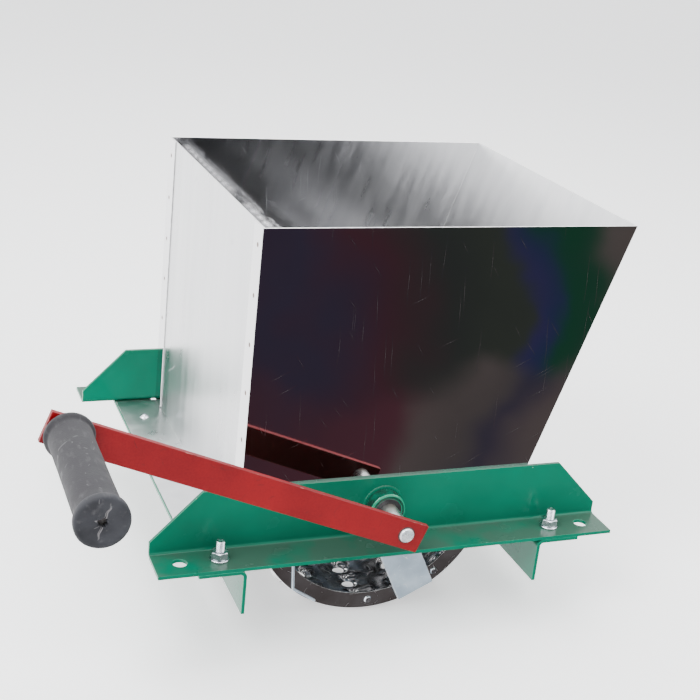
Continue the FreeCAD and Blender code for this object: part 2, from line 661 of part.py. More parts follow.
nodes = {
    "back_crossbar": back_crossbar,
    "front_crossbar": mirror_y(back_crossbar),
    "right_rail": right_rail,
    "left_rail": mirror_x(right_rail),
    "back_bearing_housing": back_housing,
    "front_bearing_housing": mirror_y(back_housing),
    "back_bush": back_bush,
    "front_bush": mirror_y(back_bush),
    "frame_bolts": at_corners(frame_bolt, FASTENER_X, HOLE_Y),
    "frame_washers": at_corners(
        lambda x, y: tube_z(WASHER_D / 2, BOLT_D / 2, x, y, STEEL, washer_top), FASTENER_X, HOLE_Y
    ),
    "frame_nuts": at_corners(frame_nut, FASTENER_X, HOLE_Y),
    "hopper_left_wall": side_wall(-1),
    "hopper_right_wall": side_wall(1),
    "hopper_back_panel": back_panel,
    "hopper_front_panel": mirror_y(back_panel),
    "hopper_screws": at_corners(dome_screw, FASTENER_X, SCREW_SPACING / 2),
    "hopper_screw_nuts": at_corners(screw_nut, FASTENER_X, SCREW_SPACING / 2),
    "drive_shaft": drive_shaft(),
    "thrust_washer": thrust_washer(),
    "retaining_ring": retaining_ring(),
    "back_hub": back_hub,
    "front_hub": mirror_y(back_hub),
    "hub_pins": Part.Compound([hub_pin(end) for end in SIDES]),
    "back_spokes": back_spokes,
    "front_spokes": mirror_y(back_spokes),
    "back_end_ring": back_ring,
    "front_end_ring": mirror_y(back_ring),
    "drum_rivets": Part.Compound([twin for piece in back_rivets for twin in both_ends(piece)]),
    "drum_shell": Part.Compound([stave(column) for column in range(TOOTH_COLUMNS)]),
    "drum_rims": Part.Compound(both_ends(shell_rim())),
    "drum_ties": Part.Compound(tie_strips()),
    "crank_arm": crank_arm(),
    "handle_spindle": handle_spindle(),
    "handle_nut": handle_nut(),
    "handle_washer": spindle_ring(HANDLE_WASHER_D, SPINDLE_D, ARM_FACE, ARM_FACE + HANDLE_WASHER),
    "handle_end_washer": spindle_ring(
        END_WASHER_D, SPINDLE_NECK_D, NECK_START, NECK_START + HANDLE_WASHER
    ),
    "grip_sleeve": spindle_ring(SLEEVE_D, SPINDLE_D + 2 * SLEEVE_FIT, SLEEVE_START, SLEEVE_END),
    "rubber_grip": rubber_grip(),
}

os.makedirs("parts", exist_ok=True)
for name, shape in nodes.items():
    shape.exportStep(f"parts/{name}.step")
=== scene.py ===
"""The looks of a hand-cranked apple mill, in metres, in the order in which it is put together."""
import json
import math
import random

import bmesh
import bpy
from mathutils import Matrix, Vector, noise


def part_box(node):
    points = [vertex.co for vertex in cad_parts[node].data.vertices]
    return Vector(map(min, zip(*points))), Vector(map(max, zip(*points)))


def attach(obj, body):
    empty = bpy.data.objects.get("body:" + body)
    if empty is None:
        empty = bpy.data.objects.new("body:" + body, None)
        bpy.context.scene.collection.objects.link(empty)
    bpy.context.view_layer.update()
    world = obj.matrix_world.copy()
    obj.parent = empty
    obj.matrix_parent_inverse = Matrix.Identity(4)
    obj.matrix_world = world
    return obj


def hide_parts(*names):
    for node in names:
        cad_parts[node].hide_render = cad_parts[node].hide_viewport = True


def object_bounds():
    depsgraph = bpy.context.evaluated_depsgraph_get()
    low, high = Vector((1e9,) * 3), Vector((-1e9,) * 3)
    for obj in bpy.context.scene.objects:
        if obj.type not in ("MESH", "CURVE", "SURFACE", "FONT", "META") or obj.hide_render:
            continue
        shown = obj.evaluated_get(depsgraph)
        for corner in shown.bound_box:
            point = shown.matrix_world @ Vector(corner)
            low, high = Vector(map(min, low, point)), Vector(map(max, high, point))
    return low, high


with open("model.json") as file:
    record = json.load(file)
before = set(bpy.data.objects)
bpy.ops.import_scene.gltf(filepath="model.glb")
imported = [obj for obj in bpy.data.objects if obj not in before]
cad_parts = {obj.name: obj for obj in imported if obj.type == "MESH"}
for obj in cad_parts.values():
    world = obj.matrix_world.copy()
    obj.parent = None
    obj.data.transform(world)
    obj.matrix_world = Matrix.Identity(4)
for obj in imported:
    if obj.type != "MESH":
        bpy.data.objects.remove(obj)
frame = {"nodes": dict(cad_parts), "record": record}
cad_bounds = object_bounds()
mm = 0.001


# Crossbars: two lengths of 3 mm steel folded into angle, with their top corners cut off at 45 degrees.
# Sprayed with glossy green enamel that is a little uneven and thin on the edges; where it faces up it is
# painted greyer and darker, partly dust and partly a painted reflection.
class Patterns:
    """Patterns that vary a colour or a number over a surface."""

    def __init__(self, tree):
        self.tree = tree

    def feed(self, node, socket, value):
        """Links a node's output to a socket, or sets the socket to a plain value."""
        target = node.inputs[socket]
        if isinstance(value, bpy.types.NodeSocket):
            self.tree.links.new(value, target)
        elif target.type == "RGBA":
            target.default_value = (*value, 1)
        else:
            target.default_value = value

    def node(self, kind, feeds, output=0, **settings):
        made = self.tree.nodes.new(kind)
        for setting, value in settings.items():
            setattr(made, setting, value)
        for socket, value in feeds.items():
            self.feed(made, socket, value)
        return made.outputs[output]

    def place(self, stretch=(1, 1, 1), turn=(0, 0, 0)):
        """Coordinates in metres that go with the piece, squeezed or turned."""
        where = self.node("ShaderNodeTexCoord", {}, "Object")
        return self.node("ShaderNodeMapping", {"Vector": where, "Scale": stretch, "Rotation": turn})

    def span(self, value, low, high, to_low=0.0, to_high=1.0):
        feeds = {"Value": value, "From Min": low, "From Max": high, "To Min": to_low, "To Max": to_high}
        return self.node("ShaderNodeMapRange", feeds)

    def clouds(self, size, low=0.4, high=0.6, where=None, detail=4.0):
        """Soft patches about size metres across, from 0 to 1."""
        feeds = {"Vector": where or self.place(), "Scale": 1 / size, "Detail": detail}
        return self.span(self.node("ShaderNodeTexNoise", feeds, "Fac"), low, high)

    def specks(self, spacing, radius, share):
        """Round specks on a share of the cells of a scattered grid."""
        return self.scattered(self.place(), "3D", spacing, radius, 0.6, share)

    def scattered(self, where, dimensions, spacing, reach, core, share):
        """One mark in each of a share of the cells, fading out from the core's share of its reach."""
        cell = self.tree.nodes.new("ShaderNodeTexVoronoi")
        cell.voronoi_dimensions = dimensions
        self.feed(cell, "Vector", where)
        self.feed(cell, "Scale", 1 / spacing)
        near = self.span(cell.outputs["Distance"], reach / spacing, core * reach / spacing)
        chosen = self.node("ShaderNodeSeparateColor", {"Color": cell.outputs["Color"]})
        return self.maths("MULTIPLY", near, self.maths("LESS_THAN", chosen, share))

    def hairlines(self, length, width, share, stretch=(1, 1, 1)):
        """Fine curved scratches: contour lines of a smooth pattern, broken into short runs."""
        feeds = {"Vector": self.place(stretch), "Scale": 1 / length, "Detail": 0.0}
        level = self.maths("SUBTRACT", self.node("ShaderNodeTexNoise", feeds, "Fac"), 0.5)
        level = self.maths("ABSOLUTE", level, 0.0)
        line = self.span(level, width / length, 0.2 * width / length)
        runs = self.clouds(length * 0.3, 0.66 - share * 0.3, 0.72 - share * 0.3, detail=1.0)
        return self.maths("MULTIPLY", line, runs)

    def scratches(self, spacing, width, length, share, slant):
        """Fine, almost straight scratches on sheet that stands along X, a share of the cells of a grid."""
        feeds = {"Vector": self.place(), "Scale": 22.0, "Detail": 1.0}
        bend = self.node("ShaderNodeTexNoise", feeds, "Color")
        bend = self.vectors("MULTIPLY", bend, (6 * mm, 6 * mm, 6 * mm))
        bent = self.vectors("ADD", self.place(turn=(math.pi / 2, 0, slant)), bend)
        drawn = self.node("ShaderNodeMapping", {"Vector": bent, "Scale": (1, width / length, 1)})
        return self.scattered(drawn, "2D", spacing, width, 0.2, share)

    def maths(self, operation, first, second):
        return self.node("ShaderNodeMath", {0: first, 1: second}, operation=operation)

    def vectors(self, operation, first, second):
        return self.node("ShaderNodeVectorMath", {0: first, 1: second}, operation=operation)

    def blend(self, factor, first, second):
        feeds = {"Factor": factor, 6: first, 7: second}
        return self.node("ShaderNodeMix", feeds, 2, data_type="RGBA")

    def facing_up(self, low, high):
        """1 where the surface faces up, as the piece stands at rest."""
        normal = self.node("ShaderNodeTexCoord", {}, "Normal")
        return self.span(self.node("ShaderNodeSeparateXYZ", {"Vector": normal}, "Z"), low, high)


class Finish(Patterns):
    """One material of the mill, and the patterns that vary it over the piece."""

    def __init__(self, name, **sockets):
        self.material = bpy.data.materials.new(name)
        self.material.use_nodes = True
        super().__init__(self.material.node_tree)
        self.shader = self.tree.nodes["Principled BSDF"]
        self.set(**sockets)

    def relief(self, height, depth, strength=1.0):
        """Raises the surface by depth metres where height is 1."""
        feeds = {"Height": height, "Distance": depth, "Strength": strength}
        self.feed(self.shader, "Normal", self.node("ShaderNodeBump", feeds))

    def set(self, **sockets):
        for socket, value in sockets.items():
            self.feed(self.shader, socket.replace("_", " "), value)


groups = frame["record"]["behaviour"]["bodies"]
bodies = {node: body for body, group in groups.items() for node in group}


def fit_piece(name, shape, goes_with, finishes, rounding=0.0, hides=True, smooth=38):
    """Makes a piece of a shape, dresses it, and lets it ride with the node or nodes that it stands for."""
    bmesh.ops.remove_doubles(shape, verts=shape.verts, dist=0.002 * mm)
    bmesh.ops.recalc_face_normals(shape, faces=shape.faces)
    for face in shape.faces:
        face.smooth = True
    for edge in shape.edges:
        edge.smooth = not edge.is_manifold or edge.calc_face_angle(0) < math.radians(smooth)
    mesh = bpy.data.meshes.new(name)
    shape.to_mesh(mesh)
    shape.free()
    piece = bpy.data.objects.new(name, mesh)
    bpy.context.scene.collection.objects.link(piece)
    for finish in finishes:
        mesh.materials.append(finish.material)
    if rounding:
        bevel = piece.modifiers.new("eased_edges", "BEVEL")
        bevel.width = rounding
        bevel.segments = 2
        bevel.limit_method = "ANGLE"
        bevel.angle_limit = math.radians(smooth)
        bevel.material = len(finishes) - 1
        bevel.use_clamp_overlap = True
        piece.modifiers.new("even_shading", "WEIGHTED_NORMAL").keep_sharp = True
    if hides:
        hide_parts(*goes_with)
    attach(piece, bodies[goes_with[0]])
    return piece


def eased(node, rounding, *finishes, ring_shaped=False):
    """The node's own form with its sheared or sawn edges broken, in the last of the finishes.

    Its facets are first joined into whole flat faces, but not on a ring, because that fills the hole.
    """
    shape = bmesh.new()
    shape.from_mesh(frame["nodes"][node].data)
    bmesh.ops.remove_doubles(shape, verts=shape.verts, dist=0.002 * mm)
    if not ring_shaped:
        flat = math.radians(0.2)
        bmesh.ops.dissolve_limit(shape, angle_limit=flat, verts=shape.verts, edges=shape.edges)
    return fit_piece(node + "_formed", shape, [node], finishes, rounding)


green = Finish("green_enamel", Specular_IOR_Level=0.14)
tone = green.blend(green.clouds(0.09, 0.3, 0.7), (0.0, 0.085, 0.048), (0.0, 0.125, 0.072))
# Upward faces are blended towards grey-green in patches: partly dust, partly a painted reflection of the room
# on the gloss.
dust_and_painted_reflection = green.maths("MULTIPLY", green.facing_up(0.75, 0.95), green.clouds(0.05, 0.32, 0.5))
tone = green.blend(green.maths("MULTIPLY", dust_and_painted_reflection, 0.75), tone, (0.040, 0.070, 0.052))
spatter = green.specks(9 * mm, 0.45 * mm, 0.10)
tone = green.blend(spatter, tone, (0.25, 0.45, 0.37))
gloss = green.clouds(0.03, 0.3, 0.7, detail=6.0)
green.set(Base_Color=tone, Roughness=green.span(gloss, 0, 1, 0.16, 0.3))
peel = green.clouds(2.2 * mm, 0.3, 0.7, detail=2.0)
green.relief(green.maths("ADD", peel, green.maths("MULTIPLY", spatter, 4.0)), 0.02 * mm, 0.6)

green_edge = Finish("green_enamel_thin", Roughness=0.25, Specular_IOR_Level=0.4)
chipped = green_edge.clouds(6 * mm, 0.66, 0.69, detail=5.0)
green_edge.set(
    Base_Color=green_edge.blend(chipped, (0.0, 0.21, 0.11), (0.30, 0.31, 0.29)),
    Metallic=green_edge.maths("MULTIPLY", chipped, 0.8),
)
for crossbar in ("front_crossbar", "back_crossbar"):
    eased(crossbar, 0.5 * mm, green, green_edge)


# Rails: two lengths of 40 x 40 angle from left to right side, under the crossbars, one leg hanging down.
# They have the same green enamel, with sawn ends.
for rail in ("left_rail", "right_rail"):
    eased(rail, 0.45 * mm, green, green_edge)


# Bearing housings: short tubes let through the crossbars' upright legs and welded all round before painting.
# The bead is a row of overlapping ripples, with spatter beside it, all under the green enamel. Grease and
# juice have darkened the tubes.
def weld_ring(shape, centre, ring_radius, bead_radius, start=0.0, sweep=math.tau, ripple=2.2 * mm):
    """Lays a rippled weld bead round an axis along Y."""
    length = abs(sweep) * ring_radius
    steps = max(8, int(length / (ripple / 5)))
    closed = sweep == math.tau
    rows = []
    for step in range(steps if closed else steps + 1):
        angle = start + sweep * step / steps
        along = (length * step / steps / ripple) % 1
        uneven = noise.noise(Vector((angle * 3, ring_radius * 900, 0)))
        swell = 0.84 + 0.16 * math.sin(math.pi * along) + 0.06 * uneven
        if not closed:
            swell *= min(1, 0.15 + 6 * min(step, steps - step) / steps)
        row = []
        for side in range(8):
            turn = math.tau * side / 8
            out = ring_radius + bead_radius * swell * math.cos(turn)
            rise = bead_radius * swell * math.sin(turn) * 0.8
            point = centre + Vector((out * math.cos(angle), rise, out * math.sin(angle)))
            row.append(shape.verts.new(point))
        rows.append(row)
    for first, second in zip(rows, rows[1:] + rows[:1] if closed else rows[1:]):
        for side in range(8):
            shape.faces.new((first[side], first[side - 1], second[side - 1], second[side]))


stained = Finish("green_enamel_stained", Specular_IOR_Level=0.4)
stain = stained.clouds(9 * mm, 0.35, 0.6, detail=5.0)
stained.set(
    Base_Color=stained.blend(stain, (0.0, 0.075, 0.043), (0.006, 0.022, 0.016)),
    Roughness=stained.span(stain, 0, 1, 0.15, 0.3),
)
LEG_FACE = 155.5 * mm          # outer face of an upright leg, from the middle of the mill
SPATTER_LOW = 8 * mm
SPATTER_HIGH = 52 * mm
for side, end in ((-1, "front"), (1, "back")):
    housing = end + "_bearing_housing"
    eased(housing, 0.6 * mm, stained, green_edge)
    low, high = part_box(housing)
    middle = (low + high) / 2
    tube = (high.x - low.x) / 2
    root = Vector((middle.x, side * LEG_FACE, middle.z))
    bead = bmesh.new()
    weld_ring(bead, root, tube + 0.6 * mm, 2.1 * mm)
    chance = random.Random(7)
    for blob in range(26):
        angle = chance.uniform(0, math.tau)
        reach = tube + chance.uniform(4, 22) * mm
        size = chance.uniform(0.25, 0.65) * mm
        spot = root + Vector((reach * math.cos(angle), 0, reach * math.sin(angle)))
        if SPATTER_LOW < spot.z < SPATTER_HIGH:
            ball = bmesh.ops.create_icosphere(bead, subdivisions=1, radius=size)
            bmesh.ops.translate(bead, verts=ball["verts"], vec=spot)
    fit_piece(end + "_housing_weld", bead, [housing], [green], hides=False)


# Bushes: flanged sleeves of black bearing plastic pushed into the housings from inside.
# Turned faces, dulled by juice and dust.
plastic = Finish("bush_plastic", Specular_IOR_Level=0.35)
plastic.set(
    Base_Color=plastic.blend(
        plastic.clouds(5 * mm, 0.4, 0.7), (0.012, 0.012, 0.014), (0.045, 0.045, 0.047)),
    Roughness=plastic.span(plastic.clouds(4 * mm), 0, 1, 0.35, 0.6),
)
for bush in ("front_bush", "back_bush"):
    eased(bush, 0.4 * mm, plastic)


# Frame fixings: four M8 zinc-plated bolts put up through rail and crossbar, each with a washer and a nut.
# Rolled thread stands 9 mm out of the nut, whose corners are chamfered on both faces.
def skin_over(shape, rings):
    """Joins each ring of points to the next with a band of faces."""
    for first, second in zip(rings, rings[1:]):
        for step in range(len(first)):
            shape.faces.new((first[step - 1], first[step], second[step], second[step - 1]))


def turned(shape, profile, place, steps=48, flats=0.0):
    """Adds a form turned about its own Z, from (radius, height) pairs. With flats it is cut to a hexagon."""
    rings = []
    for radius, height in profile:
        ring = []
        for step in range(steps):
            angle = math.tau * step / steps
            reach = radius
            if flats:
                from_flat = (angle + math.pi / 6) % (math.pi / 3) - math.pi / 6
                reach = min(radius, flats / 2 / math.cos(from_flat))
            point = Vector((reach * math.cos(angle), reach * math.sin(angle), height))
            ring.append(shape.verts.new(place @ point))
        rings.append(ring)
    skin_over(shape, rings)


def threaded(shape, radius, pitch, low, high, place, steps=24):
    """Adds a length of screw thread with a chamfered far end."""
    rows = int((high - low) / pitch * 8)
    rings = []
    for row in range(rows + 1):
        height = low + (high - low) * row / rows
        ring = []
        for step in range(steps):
            angle = math.tau * step / steps
            groove = 0.6 * pitch * abs(2 * ((height / pitch - step / steps) % 1) - 1)
            reach = min(radius - groove, radius - 0.65 * pitch + (high - height))
            point = Vector((reach * math.cos(angle), reach * math.sin(angle), height))
            ring.append(shape.verts.new(place @ point))
        rings.append(ring)
    skin_over(shape, rings)
    shape.faces.new(rings[-1])
    shape.faces.new(rings[0][::-1])


def nut_profile(flats, bore, low, high):
    """A nut's section, from bore to bore, with both corners chamfered at 30 degrees."""
    corner = flats / 2 / math.cos(math.pi / 6)
    steps = [k / 4 for k in range(5)]
    face = flats * 0.475
    chamfer = [(face + (corner - face) * k, (corner - face) * 0.55 * k) for k in steps]
    lower = [(radius, low + rise) for radius, rise in chamfer]
    upper = [(radius, high - rise) for radius, rise in reversed(chamfer)]
    lead = 0.5 * mm
    into_bore = [(bore, low + lead), (bore + lead, low)]
    out_of_bore = [(bore + lead, high), (bore, high - lead), (bore, low + lead)]
    return into_bore + lower + upper + out_of_bore


zinc = Finish("bright_zinc", Metallic=1.0)
spangle = zinc.clouds(3 * mm, 0.35, 0.65, detail=6.0)
zinc.set(
    Base_Color=zinc.blend(spangle, (0.42, 0.45, 0.49), (0.62, 0.64, 0.67)),
    Roughness=zinc.span(spangle, 0, 1, 0.16, 0.30),
)
zinc.relief(zinc.clouds(0.8 * mm, 0.3, 0.7), 0.01 * mm, 0.5)

BOLT_X = 151 * mm
BOLT_Y = 172 * mm
BOLT_R = 4 * mm
BOLT_PITCH = 1.25 * mm
BOLT_END = 20.1 * mm
ACROSS_FLATS = 13 * mm
UNDER_HEAD = -3 * mm           # underside of the rail
WASHER_BASE = 3 * mm           # top of the crossbar
NUT_BASE = 4.6 * mm
NUT_TOP = 11.1 * mm
bolts = bmesh.new()
washers = bmesh.new()
nuts = bmesh.new()
turns = random.Random(3)
head = [
    (0, UNDER_HEAD), (6.2 * mm, UNDER_HEAD), (6.5 * mm, -3.1 * mm), (7.6 * mm, -3.1 * mm),
    (7.6 * mm, -7.4 * mm), (7.1 * mm, -7.8 * mm), (6.0 * mm, -8.3 * mm), (0, -8.3 * mm),
]
washer = [
    (4.2 * mm, WASHER_BASE), (7.7 * mm, WASHER_BASE), (8 * mm, 3.3 * mm), (8 * mm, 4.2 * mm),
    (7.6 * mm, NUT_BASE), (4.4 * mm, NUT_BASE), (4.2 * mm, 4.4 * mm), (4.2 * mm, WASHER_BASE),
]
for x in (-BOLT_X, BOLT_X):
    for y in (-BOLT_Y, BOLT_Y):
        seat = Matrix.Translation((x, y, 0)) @ Matrix.Rotation(turns.uniform(0, 1), 4, "Z")
        turned(bolts, head, seat, flats=ACROSS_FLATS)
        threaded(bolts, BOLT_R, BOLT_PITCH, UNDER_HEAD, BOLT_END, seat)
        turned(washers, washer, seat)
        seat = seat @ Matrix.Rotation(turns.uniform(0, 1), 4, "Z")
        turned(nuts, nut_profile(ACROSS_FLATS, 3.6 * mm, NUT_BASE, NUT_TOP), seat, flats=ACROSS_FLATS)
fit_piece("frame_bolts_threaded", bolts, ["frame_bolts"], [zinc])
fit_piece("frame_washers_rounded", washers, ["frame_washers"], [zinc])
fit_piece("frame_nuts_chamfered", nuts, ["frame_nuts"], [zinc])


# Hopper side walls: 1 mm stainless sheet, folded at the foot into a flange that seats on the rail.
# A satin rolled finish, a little streaked up and down from wiping.
satin = Finish("satin_stainless", Metallic=1.0)
streaks = satin.clouds(0.02, 0.3, 0.7, satin.place((1, 1, 0.06)))
smears = satin.clouds(0.06, 0.4, 0.7, satin.place((1, 1, 0.5)))
marks = satin.hairlines(0.07, 0.3 * mm, 0.4, (1, 1, 0.5))
handled = satin.maths("ADD", satin.maths("MULTIPLY", smears, 0.06), satin.maths("MULTIPLY", marks, 0.2))
satin.set(
    Base_Color=satin.blend(streaks, (0.56, 0.565, 0.575), (0.66, 0.665, 0.67)),
    Roughness=satin.maths("ADD", satin.span(streaks, 0, 1, 0.25, 0.33), handled),
)
sheared = Finish("sheared_edge", Metallic=1.0)
sheared.set(
    Base_Color=sheared.blend(sheared.clouds(4 * mm), (0.62, 0.62, 0.62), (0.85, 0.85, 0.84)),
    Roughness=sheared.span(sheared.clouds(2 * mm), 0, 1, 0.3, 0.5),
)
for wall in ("hopper_left_wall", "hopper_right_wall"):
    eased(wall, 0.25 * mm, satin, sheared)


# Hopper end panels: mirror-bright stainless sheet, flared to one side and slotted for the bearing.
# Each is folded into two laps round the side walls. Handling has left hair scratches, specks and smears.
mirror = Finish("bright_stainless", Metallic=1.0)
film = mirror.clouds(0.11, 0.42, 0.75, detail=5.0)
upright = mirror.scratches(2.6 * mm, 0.13 * mm, 24 * mm, 0.5, 0.04)
leaning = mirror.scratches(3.5 * mm, 0.12 * mm, 9 * mm, 0.4, 0.6)
crossing = mirror.scratches(4.5 * mm, 0.12 * mm, 12 * mm, 0.35, -1.1)
scratches = mirror.maths("MAXIMUM", upright, mirror.maths("MAXIMUM", leaning, crossing))
pits = mirror.specks(15 * mm, 0.4 * mm, 0.12)
marked = mirror.maths("MULTIPLY", mirror.maths("MAXIMUM", scratches, pits), 0.24)
mirror.set(
    Base_Color=mirror.blend(film, (0.66, 0.66, 0.67), (0.60, 0.60, 0.61)),
    Roughness=mirror.maths("ADD", mirror.span(film, 0, 1, 0.03, 0.08), marked),
)
mirror.relief(scratches, -0.02 * mm, 0.5)
for panel in ("hopper_front_panel", "hopper_back_panel"):
    eased(panel, 0.3 * mm, mirror, sheared)


# Spot welds: five electrode marks down each lap, where it is joined to the side wall.
# Each is a shallow dished ring, straw-brown from the heat.
heat = Finish("spot_weld_heat", Metallic=0.35)
heat.set(
    Base_Color=heat.blend(heat.clouds(2 * mm, 0.35, 0.65), (0.05, 0.022, 0.015), (0.20, 0.13, 0.10)),
    Roughness=heat.span(heat.clouds(2 * mm), 0, 1, 0.3, 0.5),
)
HOPPER_TOP = 274 * mm
LEFT_LAP_FOOT = -131 * mm      # outer face of a left lap, at the foot
LEFT_LAP_LEAN = 2 * mm         # how far that face moves over the hopper's height
RIGHT_LAP_FOOT = 114.55 * mm
RIGHT_LAP_LEAN = 86.5 * mm
LAP_MIDDLE = 142.5 * mm
WELD_HEIGHTS = (94 * mm, 135 * mm, 176 * mm, 217 * mm, 258 * mm)
spots = bmesh.new()
dish = [(0, 0.04 * mm), (1.1 * mm, 0.05 * mm), (1.7 * mm, 0.16 * mm), (2.3 * mm, -0.1 * mm)]
lean = math.atan2(RIGHT_LAP_LEAN, HOPPER_TOP)
for y in (-LAP_MIDDLE, LAP_MIDDLE):
    for height in WELD_HEIGHTS:
        rise = height / HOPPER_TOP
        left_face = Matrix.Translation((LEFT_LAP_FOOT + LEFT_LAP_LEAN * rise, y, height))
        left_face = left_face @ Matrix.Rotation(-math.pi / 2, 4, "Y")
        right_face = Matrix.Translation((RIGHT_LAP_FOOT + RIGHT_LAP_LEAN * rise, y, height))
        right_face = right_face @ Matrix.Rotation(math.pi / 2 + lean, 4, "Y")
        for face in (left_face, right_face):
            turned(spots, dish, face, steps=20)
fit_piece("spot_weld_marks", spots, ["hopper_front_panel"], [heat], hides=False)


# Hopper screws: domed M5 socket screws through each foot flange and the rail, with plain nuts underneath.
# All zinc-plated.
for small in ("hopper_screws", "hopper_screw_nuts"):
    eased(small, 0.15 * mm, zinc)


# Shaft: 16 mm bright bar turned down at the crank end, with a spring ring and a thrust washer at the back.
# Drawn steel with turning marks, browned a little by juice.
bar = Finish("bright_bar", Metallic=1.0)
turning = bar.clouds(0.5 * mm, 0.3, 0.7, bar.place((0.15, 1, 0.15)), detail=2.0)
browned = bar.clouds(0.018, 0.5, 0.75, detail=6.0)
bar.set(
    Base_Color=bar.blend(browned, (0.56, 0.56, 0.55), (0.24, 0.19, 0.15)),
    Roughness=bar.maths("ADD", bar.span(turning, 0, 1, 0.2, 0.32), bar.maths("MULTIPLY", browned, 0.25)),
)
eased("drive_shaft", 0.5 * mm, bar)
for small in ("retaining_ring", "thrust_washer"):
    eased(small, 0.15 * mm, bar)


# Hubs, pins and spokes: turned steel hubs pinned to the shaft, with three flat spokes welded to each.
# All zinc-plated, bluish and cloudy. A short bead runs along each spoke's inner end.
plate = Finish("cloudy_zinc_plate", Metallic=0.45)
cloud = plate.clouds(0.016, 0.35, 0.65, detail=6.0)
rub = plate.hairlines(0.012, 0.18 * mm, 0.5)
plating = plate.blend(cloud, (0.42, 0.52, 0.62), (0.58, 0.68, 0.78))
plate.set(
    Base_Color=plate.blend(rub, plating, (0.75, 0.80, 0.84)),
    Roughness=plate.span(cloud, 0, 1, 0.28, 0.42),
)
plate_edge = Finish("zinc_plate_edge", Metallic=0.6)
plate_edge.set(
    Base_Color=plate_edge.blend(plate_edge.clouds(5 * mm), (0.60, 0.65, 0.69), (0.80, 0.83, 0.85)),
    Roughness=plate_edge.span(plate_edge.clouds(3 * mm), 0, 1, 0.25, 0.4),
)
for turned_part in ("front_hub", "back_hub", "hub_pins"):
    eased(turned_part, 0.5 * mm, plate, plate_edge)
AXIS = Vector((-5 * mm, 0, 30 * mm))
SPOKE_ANGLES = (-64, 56, 176)
SPOKE_INNER_END = 35.5 * mm
SPOKE_FACE = 147 * mm
HALF_BEAD = 0.42               # radians that a bead reaches to each side of its spoke's middle
for side, end in ((-1, "front"), (1, "back")):
    eased(end + "_spokes", 0.35 * mm, plate, plate_edge)
    bead = bmesh.new()
    for angle in SPOKE_ANGLES:
        start = math.radians(angle) - HALF_BEAD
        centre = AXIS + Vector((0, side * SPOKE_FACE, 0))
        weld_ring(bead, centre, SPOKE_INNER_END, 1.5 * mm, start, 2 * HALF_BEAD, 1.8 * mm)
    fit_piece(end + "_spoke_welds", bead, [end + "_spokes"], [plate_edge], hides=False)


# Drum: 1 mm stainless sheet rolled to 218 mm, its ends turned inwards, with rows of punched teeth.
# Each tooth is drawn up from a wide foot to a torn, jagged lip round an open hole.
DRUM_R = 109 * mm
COLUMNS = 16
TOOTH_STEP = 25 * mm           # from tooth to tooth along a column; columns are set off by half of it
TOOTH_REACH = 125 * mm         # from the drum's middle to the last tooth of an even column
TOOTH_HEIGHT = 3.5 * mm
TOOTH_STEPS = ((11, 0), (9.4, 0.45), (7.9, 1.3), (6.7, 2.3), (5.9, 3.1), (5.3, 3.5))
LAST_PLAIN = 141               # half the drum's plain length, before its end rounds over
drum = bmesh.new()
tears = random.Random(11)


def on_drum(radius, angle, y):
    """A point of the drum, by its distance from the shaft and its angle round it."""
    return drum.verts.new(AXIS + Vector((radius * math.cos(angle), y, radius * math.sin(angle))))


def join_rows(first, second, closed=True, sheared_edge=False):
    """Joins two rows of points with a band of faces. A closed band runs round a tooth."""
    for step in range(0 if closed else 1, len(first)):
        made = drum.faces.new((first[step - 1], first[step], second[step], second[step - 1]))
        made.material_index = int(sheared_edge)


half_column = math.pi / COLUMNS
border = [(k / 4 - 1, -1) for k in range(8)] + [(1, k / 4 - 1) for k in range(8)]
border += [(1 - k / 4, 1) for k in range(8)] + [(-1, 1 - k / 4) for k in range(8)]
for column in range(COLUMNS):
    middle = 2 * half_column * column
    ends = TOOTH_REACH - (column % 2) * TOOTH_STEP / 2
    for row in range(round(2 * ends / TOOTH_STEP) + 1):
        y = -ends + TOOTH_STEP * row
        before = [on_drum(DRUM_R, middle + s * half_column, y + t * TOOTH_STEP / 2) for s, t in border]
        ragged = tears.uniform(0, 9)
        for radius, rise in TOOTH_STEPS:
            ring = []
            for s, t in border:
                across = s * half_column * DRUM_R
                along = t * TOOTH_STEP / 2
                far = math.hypot(across, along)
                spin = math.atan2(along, across)
                torn = 0.0
                if rise > 2:
                    lip = Vector((2.1 * math.cos(spin) + ragged, 2.1 * math.sin(spin), column))
                    torn = 0.55 * noise.noise(lip)
                reach = (radius + torn) * mm / far
                height = min(TOOTH_HEIGHT, (rise + torn) * mm)
                angle = middle + across * reach / DRUM_R
                ring.append(on_drum(DRUM_R + height, angle, y + along * reach))
            join_rows(before, ring)
            before = ring
    for side in (-1, 1):
        angles = [middle + (k / 4 - 1) * half_column for k in range(9)]
        shoulder = [
            (109, (ends + TOOTH_STEP / 2) / mm), (109, LAST_PLAIN),
            (108.6, LAST_PLAIN + 0.6), (108, LAST_PLAIN + 1), (95, LAST_PLAIN + 1),
        ]
        before = None
        for radius, y in shoulder:
            strip = [on_drum(radius * mm, angle, side * y * mm) for angle in angles]
            if before:
                join_rows(before, strip, closed=False, sheared_edge=radius in (108.6, 108))
            before = strip

